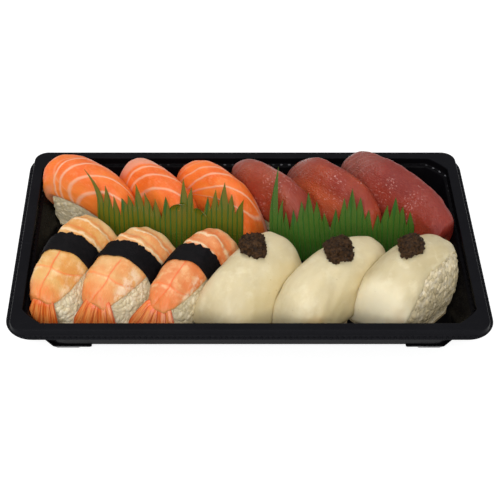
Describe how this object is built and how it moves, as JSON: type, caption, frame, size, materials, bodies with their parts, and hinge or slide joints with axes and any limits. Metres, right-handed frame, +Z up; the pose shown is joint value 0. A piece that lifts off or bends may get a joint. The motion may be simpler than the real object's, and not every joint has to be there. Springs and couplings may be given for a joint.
{
  "type": "takeaway sushi tray",
  "caption": "Black plastic takeaway tray of assorted nigiri: salmon, tuna, prawn with a nori band and squid with miso, with green grass-shaped dividers between the rows.",
  "frame": {"origin": "on the resting surface, under the middle of the tray", "axes": "+X along the tray's long side, to the viewer's right; +Y from the front row to the back row; +Z up"},
  "size_m": [0.218, 0.1344, 0.0473],
  "materials": {
    "tray": "Black polystyrene sheet, glossy",
    "divider": "Thin green film with darker stripes",
    "rice": "Cooked short-grain rice, slightly sticky",
    "salmon": "Orange raw salmon with pale fat lines, moist",
    "tuna": "Dark red raw tuna, moist and glossy",
    "prawn": "Cooked prawn, white and orange bands, moist",
    "squid": "Translucent cream flesh, smooth and moist",
    "nori": "Dry seaweed sheet, near black",
    "miso": "Crumbly dark brown paste"
  },
  "bodies": {
    "root": {"tray": "tray", "divider_left": "divider", "divider_right": "divider", "squid_1": "squid", "rice_squid_1": "rice", "miso_1": "miso", "squid_2": "squid", "rice_squid_2": "rice", "miso_2": "miso", "squid_3": "squid", "rice_squid_3": "rice", "miso_3": "miso", "prawn_1": "prawn", "rice_prawn_1": "rice", "nori_1": "nori", "prawn_2": "prawn", "rice_prawn_2": "rice", "nori_2": "nori", "prawn_3": "prawn", "rice_prawn_3": "rice", "nori_3": "nori", "salmon_1": "salmon", "rice_salmon_1": "rice", "salmon_2": "salmon", "rice_salmon_2": "rice", "salmon_3": "salmon", "rice_salmon_3": "rice", "tuna_1": "tuna", "rice_tuna_1": "rice", "tuna_2": "tuna", "rice_tuna_2": "rice", "tuna_3": "tuna", "rice_tuna_3": "rice"}
  },
  "joints": []
}
